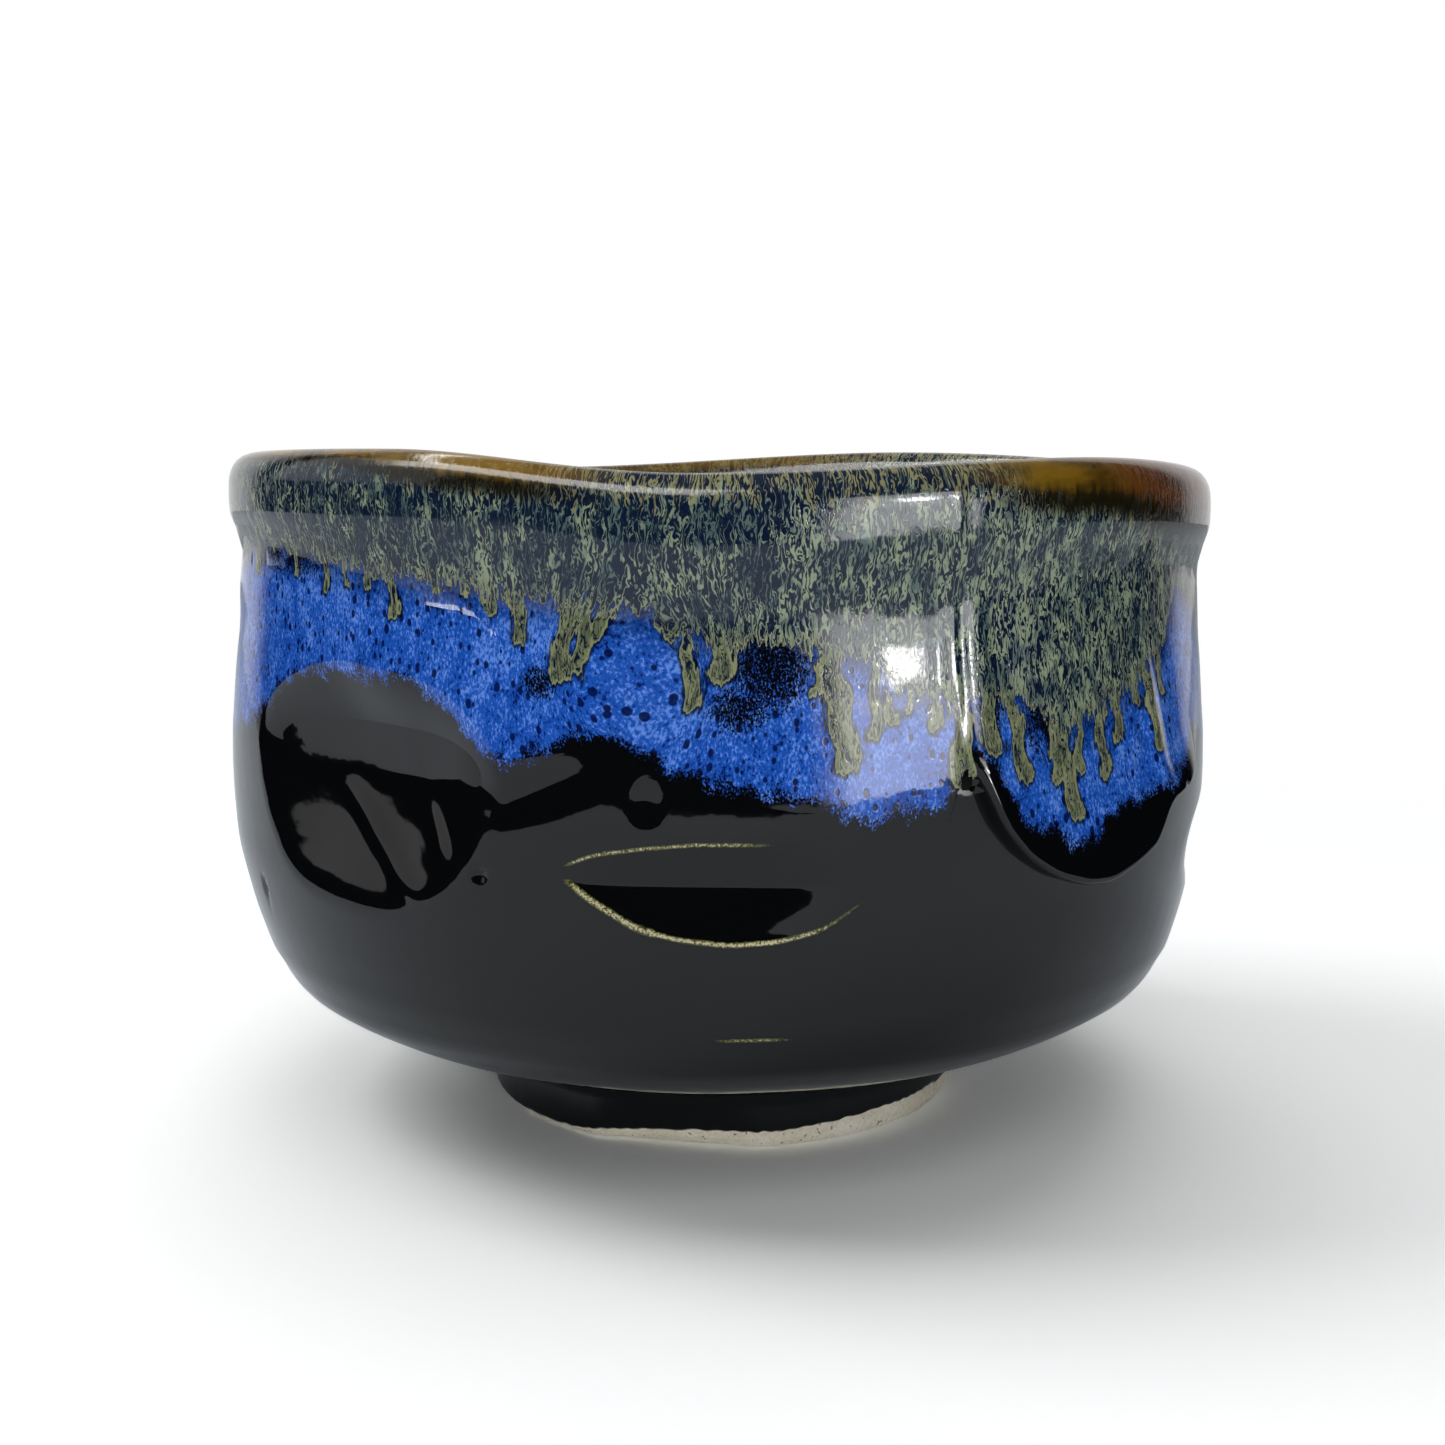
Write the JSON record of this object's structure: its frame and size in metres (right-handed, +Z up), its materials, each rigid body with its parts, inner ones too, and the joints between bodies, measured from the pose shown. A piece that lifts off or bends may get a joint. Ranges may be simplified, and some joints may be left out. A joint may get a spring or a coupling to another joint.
{
  "type": "matcha bowl",
  "caption": "Hand-thrown tea bowl for whisking powdered tea: round stoneware body on a turned foot ring, with layered glaze coats and a gently waved rim.",
  "frame": {"origin": "on the table, under the middle of the bowl's outer box", "axes": "+Z up along the bowl's axis, -Y towards the front, where the carved crescent and the thumb dent are, +X to the right as seen from the front"},
  "size_m": [0.1212, 0.1202, 0.0812],
  "materials": {
    "stoneware": "unglazed fired clay, matt",
    "foot_stoneware": "unglazed fired clay, turned, matt",
    "black_glaze": "glossy black glaze",
    "foot_black_glaze": "glossy black glaze",
    "liner_glaze": "glossy dark glaze",
    "blue_glaze": "glossy cobalt glaze with dark flecks",
    "ash_glaze": "glossy olive ash glaze, streaked and dripping"
  },
  "bodies": {
    "root": {"clay_body": "stoneware", "foot_ring": "foot_stoneware", "body_glaze": "black_glaze", "foot_glaze": "foot_black_glaze", "liner_glaze": "liner_glaze", "blue_overglaze": "blue_glaze", "ash_overglaze": "ash_glaze"}
  },
  "joints": []
}
